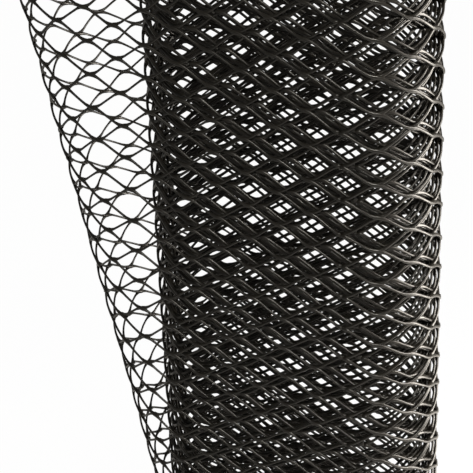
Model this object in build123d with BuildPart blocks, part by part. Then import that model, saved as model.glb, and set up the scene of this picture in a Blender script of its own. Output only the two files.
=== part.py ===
from build123d import *
from math import cos, pi, sin
import os

os.makedirs("parts", exist_ok=True)

# The sheet, in millimetres. One strand of the model stands for two of the mesh.
height = 500.0
sheet_thickness = 2.0
strand_width = 2.0
mesh_rows = 20
strands_joined = 2

# The flattened roll, on the middle of the sheet.
tight_turns = 5
turn_spacing = 4.8
inner_bend_radius = 31.0
flat_length = 120.0

# The turns lie closer at the bends: each inner turn's flat sides reach this much further.
bend_gather = 2.0

# The left end of the tight turns is a little wider at the foot than at the top.
foot_spread = 5.5
top_spread = -6.5

# The loose outer turn leans out to the left towards its top.
loose_radius = 68.0
loose_foot_spread = 0.5
loose_top_spread = 92.0
free_edge_lean = 160.0

# How many facets each bend has, and how many steps each flat side of the mesh.
bend_facets = 4
flat_steps = 2
loose_flat_steps = 4

half_step = turn_spacing / 2
half_flat = flat_length / 2
loose_front_depth = inner_bend_radius + tight_turns * turn_spacing
loose_back_depth = 2 * loose_radius - loose_front_depth
outer_radius = loose_front_depth - half_step / 2
rows = mesh_rows // strands_joined
pitch = height / rows
half_strand = strand_width / 2

# The part stands with the middle of its outline over the origin.
left_reach = half_flat + loose_radius + loose_top_spread
right_reach = half_flat + outer_radius
shift_x = (left_reach - right_reach) / 2
shift_y = (loose_front_depth - loose_back_depth) / 2


def flat_side(start, end, depth, steps):
    """The plan points along a flat side, without its last one."""
    return [(start + (end - start) * i / steps, depth) for i in range(steps)]


def bend(centre_x, centre_y, radius, start_angle):
    """The plan points round a half circle, without its last one."""
    angles = [start_angle - pi * i / bend_facets for i in range(bend_facets)]
    return [(centre_x + radius * cos(a), centre_y + radius * sin(a)) for a in angles]


def spread(points, foot, top):
    """Columns on plan points, whose left end is moved out at the foot and at the top."""
    columns = []
    for x, y in points:
        share = min(max((half_flat - x) / flat_length, 0), 1)
        columns.append((x, y, foot * share, top * share))
    return columns


def tight_turn(turn):
    """The plan points of one tight turn, from its front right corner round by the left."""
    front = inner_bend_radius + turn * turn_spacing
    back = front + half_step
    reach = half_flat + (tight_turns - 1 - turn) * bend_gather
    points = flat_side(reach + bend_gather, -reach, -front, flat_steps)
    points += bend(-reach, half_step / 2, front + half_step / 2, 3 * pi / 2)
    points += flat_side(-reach, reach, back, flat_steps)
    points += bend(reach, -half_step / 2, back + half_step / 2, pi / 2)
    return points


def loose_turn():
    """The columns of the loose turn, up to its free edge, which leans at the back."""
    points = flat_side(half_flat, -half_flat, -loose_front_depth, loose_flat_steps)
    points += bend(-half_flat, loose_radius - loose_front_depth, loose_radius, 3 * pi / 2)
    columns = spread(points, loose_foot_spread, loose_top_spread)
    for step in range(loose_flat_steps + 1):
        share = step / loose_flat_steps
        x = -half_flat + flat_length * share
        foot = loose_foot_spread * (1 - share)
        top = loose_top_spread + (free_edge_lean - loose_top_spread) * share
        columns.append((x, loose_back_depth, foot, top))
    return columns


def at_height(column, level):
    """The middle of the sheet on one column, at one level."""
    x, y, foot, top = column
    lean = foot + (top - foot) * level / height
    return Vector(x - lean + shift_x, y + shift_y, level)


def outward(columns, i):
    """The outward mitre direction of a column, and how far a face lies along it."""
    normals = []
    for a, b in ((i - 1, i), (i, i + 1)):
        if 0 <= a and b < len(columns):
            along = at_height(columns[b], 0) - at_height(columns[a], 0)
            along = along.normalized()
            normals.append(Vector(-along.Y, along.X, 0))
    mitre = (normals[0] + normals[-1]).normalized()
    return mitre, sheet_thickness / 2 / mitre.dot(normals[0])


def outline(columns, first, last, level):
    """The cut through the sheet at one level, as a closed ring of points."""
    outer = []
    inner = []
    for i in range(first, last + 1):
        mitre, reach = outward(columns, i)
        middle = at_height(columns[i], level)
        outer.append(middle + mitre * reach)
        inner.append(middle - mitre * reach)
    return outer + inner[::-1]


def openings(columns, i):
    """The corners of each mesh opening on one column, on the middle of the sheet."""
    levels = [pitch * (k + 0.5) for k in range(rows)]
    if i % 2:
        levels = [pitch * k for k in range(rows + 1)]
    before = columns[max(i - 1, 0)]
    after = columns[min(i + 1, len(columns) - 1)]
    meshes = []
    for level in levels:
        middle = at_height(columns[i], level)
        left = at_height(before, level)
        right = at_height(after, level)
        half_width = max((left - middle).length, (right - middle).length)
        slant = (half_width**2 + (pitch / 2) ** 2) ** 0.5
        side_inset = half_strand * slant / (pitch / 2)
        tip_inset = half_strand * slant / half_width
        corners = []
        if i > 0:
            corners.append(left + (middle - left).normalized() * side_inset)
        corners.append(at_height(columns[i], level + pitch / 2 - tip_inset))
        if i < len(columns) - 1:
            corners.append(right + (middle - right).normalized() * side_inset)
        corners.append(at_height(columns[i], level - pitch / 2 + tip_inset))
        meshes.append(corners)
    return meshes


def section(name, columns, first, last):
    """One stretch of the mesh sheet, from column first to column last."""
    with BuildPart() as net:
        for level in (0, height):
            ring = outline(columns, first, last, level)
            with BuildSketch(Plane.XY.offset(level)):
                with BuildLine():
                    Polyline([(p.X, p.Y) for p in ring], close=True)
                make_face()
        loft(ruled=True)
        for i in range(first, last + 1):
            mitre, _ = outward(columns, i)
            along = Vector(-mitre.Y, mitre.X, 0)
            cut_plane = Plane(origin=at_height(columns[i], 0), x_dir=along, z_dir=mitre)
            with BuildSketch(cut_plane):
                for corners in openings(columns, i):
                    with BuildLine():
                        flat = [cut_plane.to_local_coords(p) for p in corners]
                        Polyline([(p.X, p.Y) for p in flat], close=True)
                    make_face()
            extrude(amount=free_edge_lean, both=True, mode=Mode.SUBTRACT)
    net.part.label = name
    export_step(net.part, f"parts/{name}.step")
    print(name, "solids", len(net.part.solids()), "volume", round(net.part.volume))


columns = []
for turn in range(tight_turns):
    columns += spread(tight_turn(turn), foot_spread, top_spread)
columns += loose_turn()

half_bend = bend_facets // 2
tight_stretches = (
    ("front", flat_steps),
    ("left_front_bend", half_bend),
    ("left_back_bend", half_bend),
    ("back", flat_steps),
    ("right_back_bend", half_bend),
    ("right_front_bend", half_bend),
)
loose_stretches = (
    ("front", loose_flat_steps),
    ("left_front_bend", half_bend),
    ("left_back_bend", half_bend),
    ("back", loose_flat_steps),
)
start = 0
for turn in range(1, tight_turns + 1):
    for place, steps in tight_stretches:
        section(f"turn_{turn}_{place}", columns, start, start + steps)
        start += steps
for place, steps in loose_stretches:
    section(f"loose_turn_{place}", columns, start, start + steps)
    start += steps
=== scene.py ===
import bmesh
import bpy
import random
from math import ceil, cos, pi, radians, sin
from mathutils import Matrix, Vector, noise


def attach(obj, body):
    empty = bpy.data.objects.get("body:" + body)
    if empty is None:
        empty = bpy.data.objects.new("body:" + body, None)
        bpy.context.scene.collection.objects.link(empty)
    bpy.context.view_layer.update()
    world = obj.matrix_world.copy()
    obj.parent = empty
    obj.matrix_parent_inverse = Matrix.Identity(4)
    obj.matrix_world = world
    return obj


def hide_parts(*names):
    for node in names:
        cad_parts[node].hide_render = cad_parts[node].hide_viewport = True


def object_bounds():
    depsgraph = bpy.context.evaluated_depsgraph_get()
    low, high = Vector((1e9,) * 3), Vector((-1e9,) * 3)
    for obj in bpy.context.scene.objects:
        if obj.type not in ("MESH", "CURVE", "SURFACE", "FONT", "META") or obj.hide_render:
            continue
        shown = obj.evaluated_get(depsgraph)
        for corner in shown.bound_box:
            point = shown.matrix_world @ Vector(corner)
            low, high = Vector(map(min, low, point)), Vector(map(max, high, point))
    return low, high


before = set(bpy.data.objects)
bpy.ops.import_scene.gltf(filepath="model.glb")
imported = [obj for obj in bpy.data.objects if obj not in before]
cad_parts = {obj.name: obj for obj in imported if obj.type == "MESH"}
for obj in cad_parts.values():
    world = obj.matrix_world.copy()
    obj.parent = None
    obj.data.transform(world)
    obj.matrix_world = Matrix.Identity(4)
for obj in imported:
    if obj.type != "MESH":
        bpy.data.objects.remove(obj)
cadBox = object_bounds()

# The roll in metres, on the middle of the sheet, nearly as in the solids
roll = {
    "height": cadBox[1][2] - cadBox[0][2],
    "flat": 0.120,             # between the bends of the outermost tight turn
    "innerRadius": 0.031,      # bends round the hollow core
    "spacing": 0.0048,         # from one turn to the next, on the flat sides
    "tightTurns": 5,
    "gather": 0.0020,          # how much closer the turns lie at the bends
    "footSpread": 0.0075,      # how far the tight turns reach further left, at the foot
    "topSpread": -0.0045,      # and at the top
    "looseRadius": 0.068,
    "looseTopSpread": 0.092,   # how far the loose turn leans out to the left, at the top
    "freeEdgeLean": 0.160,     # how far its free edge leans, at the top
}

# The mesh in metres, as it was extruded
mesh = {
    "rows": 20,
    "halfWidth": 0.02384,      # from one column of knots to the next
    "looseColumns": 19.5,      # columns of knots on the loose turn
    "rings": 8,                # points along a strand from one knot to the next
    "tightRadius": 0.00108,    # of a strand
    "looseRadius": 0.00091,
    "knotSwell": 1.8,          # how much thicker a strand is at its knots
    "knotSharpness": 6,        # higher keeps the swelling closer to the knot
    "knotLevel": 0.45,         # how level the strands run near their knots
    "knotLength": 0.18,        # and how far they do
    "layer": 0.00045,          # how far each set of strands lies off the sheet's middle
    "uneven": 0.0009,          # how far a knot may be out of place
    "seed": 7,                 # with the next two, a draw of its own for each knot
    "columnSeed": 1009,
    "levelSeed": 31,
}

# How the net lies against the middle of the sheet, in metres
offsets = {
    "looseInset": 0.00155,     # keeps the knots inside the solids' outline
    "tightInset": 0.0005,
    "blendColumns": 3,         # columns over which the one becomes the other
    "bow": 0.0015,             # how far strands bow out between their knots round the bends
    "tightSink": 0.0014,       # how far the tight turns' knots lie in there
    "swell": 0.0003,           # slow bulges all over the sheet
    "swellRate": 9,            # of them in a metre
    "swellSlice": 3.1,         # another one gives other bulges
}

# How each turn's meshes lie over the next one's, in columns of knots along the sheet
winding = {
    "drift": 0.22,             # what each half turn gains
    "front": {"phase": -0.7, "nest": -0.39, "skew": 0.0, "skewNest": -0.2},
    "back": {"phase": 0.64, "nest": 0.33, "skew": 0.05, "skewNest": -0.25},
}

halfFlat = roll["flat"] / 2
halfStep = roll["spacing"] / 2
looseFront = roll["innerRadius"] + roll["tightTurns"] * roll["spacing"]
looseBack = 2 * roll["looseRadius"] - looseFront
outerRadius = looseFront - halfStep / 2
shiftX = (roll["looseRadius"] + roll["looseTopSpread"] - outerRadius) / 2
shiftY = (looseFront - looseBack) / 2
rowPitch = roll["height"] / mesh["rows"]
print("frame and sizes ready")


def onFlat(startX, endX, depth, share, side):    # a place and its outward direction
    return Vector((startX + (endX - startX) * share, depth, 0)), Vector((0, side, 0))


def onBend(centreX, centreY, radius, angle):
    normal = Vector((cos(angle), sin(angle), 0))
    return Vector((centreX, centreY, 0)) + normal * radius, normal


def turnSizes(turn):    # depths, bends and lengths of one tight turn, counted from 0 at the core
    front = roll["innerRadius"] + turn * roll["spacing"]
    back = front + halfStep
    nextFront = front + roll["spacing"]
    outward = roll["gather"] * (roll["tightTurns"] - 1 - turn)
    sizes = {"front": front, "back": back, "outward": outward}
    sizes["leftRadius"] = (back + front) / 2
    sizes["leftY"] = (back - front) / 2
    sizes["rightRadius"] = (back + nextFront) / 2
    sizes["rightY"] = (back - nextFront) / 2
    sizes["frontLength"] = roll["flat"] + 2 * outward + roll["gather"]
    sizes["leftLength"] = pi * sizes["leftRadius"]
    sizes["backLength"] = roll["flat"] + 2 * outward
    sizes["rightLength"] = pi * sizes["rightRadius"]
    parts = ("frontLength", "leftLength", "backLength", "rightLength")
    sizes["whole"] = sum(sizes[part] for part in parts)
    return sizes


turns = [turnSizes(turn) for turn in range(roll["tightTurns"])]


def tightPoint(along, z):    # along counts inwards from the loose turn's start, so it is negative
    hair = 1e-9    # lets a point on a turn's very start belong to it
    for sizes in reversed(turns):
        if along + sizes["whole"] >= -hair or sizes is turns[0]:
            break
        along += sizes["whole"]
    along += sizes["whole"]
    spread = roll["footSpread"] + (roll["topSpread"] - roll["footSpread"]) * z / roll["height"]
    left = -halfFlat - spread - sizes["outward"]
    right = halfFlat + sizes["outward"]
    if along < sizes["frontLength"]:
        share = along / sizes["frontLength"]
        return onFlat(right + roll["gather"], left, -sizes["front"], share, -1)
    along -= sizes["frontLength"]
    if along < sizes["leftLength"]:
        angle = 1.5 * pi - along / sizes["leftRadius"]
        return onBend(left, sizes["leftY"], sizes["leftRadius"], angle)
    along -= sizes["leftLength"]
    if along < sizes["backLength"]:
        return onFlat(left, right, sizes["back"], along / sizes["backLength"], 1)
    along -= sizes["backLength"]
    angle = pi / 2 - along / sizes["rightRadius"]
    return onBend(right, sizes["rightY"], sizes["rightRadius"], angle)


def loosePoint(along, z):
    left = -halfFlat - roll["looseTopSpread"] * z / roll["height"]
    frontLength = halfFlat - left
    if along < frontLength:
        return onFlat(halfFlat, left, -looseFront, along / frontLength, -1)
    along -= frontLength
    radius = roll["looseRadius"]
    centreY = radius - looseFront
    quarter = pi / 2 * radius
    if along < quarter:
        return onBend(left, centreY, radius, 1.5 * pi - along / radius)
    along -= quarter
    # The hidden rest is stretched a little, so that its last column is the free edge
    rightEnd = halfFlat - roll["freeEdgeLean"] * z / roll["height"]
    hidden = quarter + rightEnd - left
    along *= hidden / (mesh["looseColumns"] * mesh["halfWidth"] - frontLength - quarter)
    if along < quarter:
        return onBend(left, centreY, radius, pi - along / radius)
    along -= quarter
    return onFlat(left, rightEnd, looseBack, along / (rightEnd - left), 1)


def nested(side, along, halfTurns):    # the nearest column that lies over the next turn's as meant
    way = winding[side]
    turn = (halfTurns + 1) // 2
    even = along / mesh["halfWidth"] + winding["drift"] * halfTurns
    meant = way["phase"] + way["nest"] * turn
    column = even + (meant - even + 1) % 2 - 1    # the mesh repeats after two columns
    return along, column, way["skew"] + way["skewNest"] * turn


def halfTurnMarks():    # arc length, column and skew at the middle of each flat side, going inwards
    found = [(0.0, 0.0, 0.0)]
    along = 0.0
    for sizes in reversed(turns):
        along -= sizes["rightLength"] + sizes["backLength"] / 2
        found.append(nested("back", along, len(found)))
        along -= sizes["backLength"] / 2 + sizes["leftLength"] + sizes["frontLength"] / 2
        found.append(nested("front", along, len(found)))
        along -= sizes["frontLength"] / 2
    return found


marks = halfTurnMarks()


def markAt(column):    # arc length and skew at a column, between the marks or past the last one
    for outer, inner in zip(marks, marks[1:]):
        if column >= inner[1]:
            share = (column - outer[1]) / (inner[1] - outer[1])
            along = outer[0] + share * (inner[0] - outer[0])
            return along, outer[2] + share * (inner[2] - outer[2])
    return inner[0] + (column - inner[1]) * mesh["halfWidth"], inner[2]


def alongAt(column, z):
    if column >= 0:
        return column * mesh["halfWidth"]
    skew = markAt(column)[1]
    upright = column - skew * (z / roll["height"] - 0.5)
    return min(markAt(upright)[0], 0)


def sheetPoint(column, z, off, arch):    # off is how far out, arch is 1 half way between two knots
    along = alongAt(column, z)
    place, normal = tightPoint(along, z) if along < 0 else loosePoint(along, z)
    tight = min(max(-column / offsets["blendColumns"], 0), 1)
    inset = offsets["looseInset"] + (offsets["tightInset"] - offsets["looseInset"]) * tight
    spot = Vector((along * offsets["swellRate"], z * offsets["swellRate"], offsets["swellSlice"]))
    swell = offsets["swell"] * noise.noise(spot)
    bow = (offsets["bow"] * arch - offsets["tightSink"] * tight) * abs(normal.x)
    place = place + normal * (off + swell + bow - inset)
    return (place.x + shiftX, place.y + shiftY, z)


def knotShift(column, level):    # how far a knot is out of place, the same for both its strands
    rng = random.Random(column * mesh["columnSeed"] + level * mesh["levelSeed"] + mesh["seed"])
    return rng.uniform(-1, 1) * mesh["uneven"], rng.uniform(-1, 1) * mesh["uneven"]


def strandPath(column, level, columns, climb):    # points and radii from the first knot to the last
    points = []
    radii = []
    for ring in range(columns * mesh["rings"] + 1):
        step = min(ring // mesh["rings"], columns - 1)
        u = ring / mesh["rings"] - step
        here = knotShift(column + step, level + climb * step)
        there = knotShift(column + step + 1, level + climb * (step + 1))
        rise = u - mesh["knotLevel"] * sin(2 * pi * u) / (2 * pi)
        rise -= mesh["knotLength"] * sin(4 * pi * u) / (4 * pi)
        across = column + step + u + (here[0] + (there[0] - here[0]) * u) / mesh["halfWidth"]
        z = (level + climb * (step + rise)) * rowPitch / 2 + here[1] + (there[1] - here[1]) * u
        points.extend(sheetPoint(across, z, climb * mesh["layer"], sin(pi * u)) + (0,))
        swelling = abs(cos(pi * u)) ** mesh["knotSharpness"]
        radii.append(1 + (mesh["knotSwell"] - 1) * swelling)
    return points, radii


def strandStarts(first, last):    # where each strand between two columns starts, and how far it goes
    top = 2 * mesh["rows"]
    for climb in (-1, 1):
        edge = top if climb < 0 else 0
        for start in range(first, last):
            for level in range(start % 2, top + 1, 2):
                if start > first and level != edge:
                    continue
                columns = min(last - start, level if climb < 0 else top - level)
                if columns > 0:
                    yield start, level, columns, climb


def netCurve(name, first, last, radius):
    curve = bpy.data.curves.new(name, "CURVE")
    curve.dimensions = "3D"
    curve.bevel_depth = radius
    curve.bevel_resolution = 1    # six sides look round at this size
    curve.use_fill_caps = True
    for start, level, columns, climb in strandStarts(first, last):
        points, radii = strandPath(start, level, columns, climb)
        strand = curve.splines.new("POLY")
        strand.points.add(len(radii) - 1)
        strand.points.foreach_set("co", points)
        strand.points.foreach_set("radius", radii)
    return curve


def cutLevel(bm, z, side):    # a flat cut along an edge of the sheet, closed again
    geometry = bm.verts[:] + bm.edges[:] + bm.faces[:]
    cut = bmesh.ops.bisect_plane(bm, geom=geometry, plane_co=(0, 0, z), plane_no=(0, 0, side),
                                 clear_outer=True)
    edges = [item for item in cut["geom_cut"] if isinstance(item, bmesh.types.BMEdge)]
    bmesh.ops.holes_fill(bm, edges=edges, sides=0)


def netPiece(name, first, last, radius):    # every strand between two columns of knots, as one mesh
    holder = bpy.data.objects.new(name + "_strands",
                                  netCurve(name + "_strands", first, last, radius))
    bpy.context.scene.collection.objects.link(holder)
    data = bpy.data.meshes.new_from_object(holder)
    data.name = name
    bpy.data.objects.remove(holder)
    bm = bmesh.new()
    bm.from_mesh(data)
    bmesh.ops.remove_doubles(bm, verts=bm.verts, dist=1e-7)    # joins the end caps to their strands
    cutLevel(bm, 0, -1)
    cutLevel(bm, roll["height"], 1)
    bmesh.ops.recalc_face_normals(bm, faces=bm.faces)
    for face in bm.faces:
        face.smooth = True
    bm.to_mesh(data)
    bm.free()
    piece = bpy.data.objects.new(name, data)
    bpy.context.scene.collection.objects.link(piece)
    return piece


def linear(hexCode):    # sRGB hex to linear colour
    parts = [int(hexCode[i:i + 2], 16) / 255 for i in (1, 3, 5)]
    return tuple(p / 12.92 if p <= 0.04045 else ((p + 0.055) / 1.055) ** 2.4 for p in parts) + (1,)


def addNode(tree, kind, values=None, **settings):
    node = tree.nodes.new(kind)
    for key, value in settings.items():
        setattr(node, key, value)
    for key, value in (values or {}).items():
        node.inputs[key].default_value = value
    return node


def newMaterial(name):
    material = bpy.data.materials.new(name)
    material.use_nodes = True
    material.node_tree.nodes.clear()
    return material


# The plastic, with pattern sizes in millimetres as they would be measured on the strands
plasticLook = {
    "dark": "#0e0d0b",
    "pale": "#24211c",
    "patch": 16.0,           # one patch of paler or darker plastic
    "film": 5.0,             # one duller or glossier stretch of a strand
    "glossiest": 0.24,       # roughness
    "dullest": 0.42,
    "dieLine": 1.5,          # waves left by the die; real ones of 0.2 mm are too fine to show
    "waveDepth": 0.06,
    "refraction": 1.51,      # of polyethylene
}


def noiseAt(tree, size, detail):    # noise of a size in millimetres, on Object coordinates
    return addNode(tree, "ShaderNodeTexNoise", {"Scale": 1000 / size, "Detail": detail})


def blackPolyethylene():    # carbon filled polyethylene, extruded through turning dies
    material = newMaterial("black_polyethylene_extruded")
    tree = material.node_tree
    link = tree.links.new
    output = addNode(tree, "ShaderNodeOutputMaterial")
    shader = addNode(tree, "ShaderNodeBsdfPrincipled", {"IOR": plasticLook["refraction"]})
    place = addNode(tree, "ShaderNodeTexCoord")
    # Patches of colour: the black turns a little brown where the strand was drawn thin
    cloud = noiseAt(tree, plasticLook["patch"], 3.0)
    ends = {"A": linear(plasticLook["dark"]), "B": linear(plasticLook["pale"])}
    colour = addNode(tree, "ShaderNodeMix", ends, data_type="RGBA")
    # Dull and glossy stretches break the highlight along each strand
    film = noiseAt(tree, plasticLook["film"], 2.0)
    ends = {"To Min": plasticLook["glossiest"], "To Max": plasticLook["dullest"]}
    gloss = addNode(tree, "ShaderNodeMapRange", ends)
    # Waves of the die make the highlight waver
    waves = noiseAt(tree, plasticLook["dieLine"], 2.0)
    depth = {"Strength": 1.0, "Distance": plasticLook["waveDepth"] / 1000}
    bump = addNode(tree, "ShaderNodeBump", depth)
    for pattern in (cloud, film, waves):
        link(place.outputs["Object"], pattern.inputs["Vector"])
    link(cloud.outputs["Fac"], colour.inputs["Factor"])
    link(colour.outputs["Result"], shader.inputs["Base Color"])
    link(film.outputs["Fac"], gloss.inputs["Value"])
    link(gloss.outputs["Result"], shader.inputs["Roughness"])
    link(waves.outputs["Fac"], bump.inputs["Height"])
    link(bump.outputs["Normal"], shader.inputs["Normal"])
    link(shader.outputs["BSDF"], output.inputs["Surface"])
    return material


plastic = blackPolyethylene()
print("material ready")


def dressTurn(name, nodes, first, last, radius):    # one net for a turn, in place of its stretches
    piece = netPiece(name, first, last, radius)
    piece.data.materials.append(plastic)
    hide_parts(*nodes)
    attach(piece, "root")
    print(piece.name, "columns", first, "to", last, "faces", len(piece.data.polygons))


def coreColumn():    # the innermost column of knots that the sheet still has over its whole height
    middle, column, skew = marks[-1]
    sheetStart = -sum(sizes["whole"] for sizes in turns)
    return ceil(column + (sheetStart - middle) / mesh["halfWidth"] + abs(skew) / 2)


loosePlaces = ("front", "left_front_bend", "left_back_bend", "back")
tightPlaces = loosePlaces + ("right_back_bend", "right_front_bend")
startColumns = [coreColumn()]
for turn in range(1, roll["tightTurns"]):
    lengthOutside = sum(sizes["whole"] for sizes in turns[turn:])
    startColumns.append(round(lengthOutside / -mesh["halfWidth"]))
startColumns.append(0)    # where the loose turn starts
for turn in range(roll["tightTurns"]):
    nodes = [f"turn_{turn + 1}_{place}" for place in tightPlaces]
    dressTurn(f"net_turn_{turn + 1}", nodes, startColumns[turn], startColumns[turn + 1],
              mesh["tightRadius"])
nodes = [f"loose_turn_{place}" for place in loosePlaces]
dressTurn("net_loose_turn", nodes, 0, int(mesh["looseColumns"]), mesh["looseRadius"])

# White to the camera alone, not to reflections too: nothing here is metal or glass, and a
# bright mirror image would turn the black plastic grey
studio = {
    "floorSize": 12.0,
    "shadowShare": 0.02,     # how much of the roll's shadow the white floor keeps
    "paper": 0.9,
    "softLight": 0.165,      # what the world gives the roll
    "softTint": (1, 0.97, 0.9, 1),
    "white": (1, 1, 1, 1),
}


def whitePaper():    # matt paper sweep
    material = newMaterial("white_paper_sweep")
    tree = material.node_tree
    link = tree.links.new
    output = addNode(tree, "ShaderNodeOutputMaterial")
    grey = (studio["paper"], studio["paper"], studio["paper"], 1)
    paper = addNode(tree, "ShaderNodeBsdfDiffuse", {"Color": grey})
    glow = addNode(tree, "ShaderNodeEmission", {"Color": studio["white"], "Strength": 1.0})
    rays = addNode(tree, "ShaderNodeLightPath")
    seen = addNode(tree, "ShaderNodeMath", {1: 1 - studio["shadowShare"]}, operation="MULTIPLY")
    mix = addNode(tree, "ShaderNodeMixShader")
    link(rays.outputs["Is Camera Ray"], seen.inputs[0])
    link(seen.outputs["Value"], mix.inputs["Fac"])
    link(paper.outputs["BSDF"], mix.inputs[1])
    link(glow.outputs["Emission"], mix.inputs[2])
    link(mix.outputs["Shader"], output.inputs["Surface"])
    return material


def softRoom():
    world = bpy.data.worlds.new("studio")
    world.use_nodes = True
    tree = world.node_tree
    tree.nodes.clear()
    link = tree.links.new
    output = addNode(tree, "ShaderNodeOutputWorld")
    softLook = {"Color": studio["softTint"], "Strength": studio["softLight"]}
    soft = addNode(tree, "ShaderNodeBackground", softLook)
    seenWhite = addNode(tree, "ShaderNodeBackground", {"Color": studio["white"], "Strength": 1.0})
    rays = addNode(tree, "ShaderNodeLightPath")
    mix = addNode(tree, "ShaderNodeMixShader")
    link(rays.outputs["Is Camera Ray"], mix.inputs["Fac"])
    link(soft.outputs["Background"], mix.inputs[1])
    link(seenWhite.outputs["Background"], mix.inputs[2])
    link(mix.outputs["Shader"], output.inputs["Surface"])
    return world


bm = bmesh.new()
bmesh.ops.create_grid(bm, x_segments=1, y_segments=1, size=studio["floorSize"] / 2)
floorMesh = bpy.data.meshes.new("floor")
bm.to_mesh(floorMesh)
bm.free()
floor = bpy.data.objects.new("floor", floorMesh)
bpy.context.scene.collection.objects.link(floor)
floor.data.materials.append(whitePaper())
bpy.context.scene.world = softRoom()

# Lamps, in metres and watts
lamps = {
    # A strip close to the right end, whose light has fallen off before it reaches the flap
    "rim_right": {
        "place": (0.52, 0.15, 0.25),
        "width": 0.2,
        "height": 0.7,
        "power": 9.4,
        "tint": (1.0, 0.93, 0.84),
    },
    # Draws the short highlights on the front strands
    "key_above": {
        "place": (1.0, -0.8, 1.7),
        "width": 0.2,
        "height": 0.2,
        "power": 20,
        "tint": (1.0, 0.95, 0.85),
    },
}


def addLamp(name, look, target):
    lamp = bpy.data.lights.new(name, "AREA")
    lamp.shape = "RECTANGLE"
    lamp.size = look["width"]
    lamp.size_y = look["height"]
    lamp.energy = look["power"]
    lamp.color = look["tint"]
    holder = bpy.data.objects.new(name, lamp)
    aim = Vector(target) - Vector(look["place"])
    holder.location = look["place"]
    holder.rotation_euler = aim.to_track_quat("-Z", "Y").to_euler()
    holder.visible_camera = False
    bpy.context.scene.collection.objects.link(holder)


for name, look in lamps.items():
    addLamp(name, look, (0, 0, roll["height"] / 2))
print("stage and lamps ready")

# Camera, as fitted to the knots of the mesh in the photograph, in pixels, degrees and metres
view = {
    "focalPixels": 1206.3,
    "widthPixels": 473,
    "pitch": 24.96,
    "roll": -3.465,
    "azimuth": -25.99,
    "eye": (0.3254, -0.7650, 0.6799),    # from the middle of the tight turns
    "sensorWidth": 36,                   # millimetres
}


def addCamera():
    pitch = radians(view["pitch"])
    azimuth = radians(view["azimuth"])
    tilt = radians(view["roll"])
    forward = Vector((sin(azimuth) * cos(pitch), cos(azimuth) * cos(pitch), -sin(pitch)))
    level = Vector((cos(azimuth), -sin(azimuth), 0))
    upright = level.cross(forward)
    rightward = level * cos(tilt) + upright * sin(tilt)
    upward = upright * cos(tilt) - level * sin(tilt)
    lens = bpy.data.cameras.new("camera")
    lens.sensor_width = view["sensorWidth"]
    lens.lens = view["focalPixels"] / view["widthPixels"] * view["sensorWidth"]
    camera = bpy.data.objects.new("camera", lens)
    eye = Vector(view["eye"]) + Vector((shiftX, shiftY, 0))
    turned = Matrix((rightward, upward, -forward)).transposed().to_4x4()
    camera.matrix_world = Matrix.Translation(eye) @ turned
    bpy.context.scene.collection.objects.link(camera)
    bpy.context.scene.camera = camera


addCamera()
bpy.context.scene.view_settings.view_transform = "Standard"
print("camera ready")
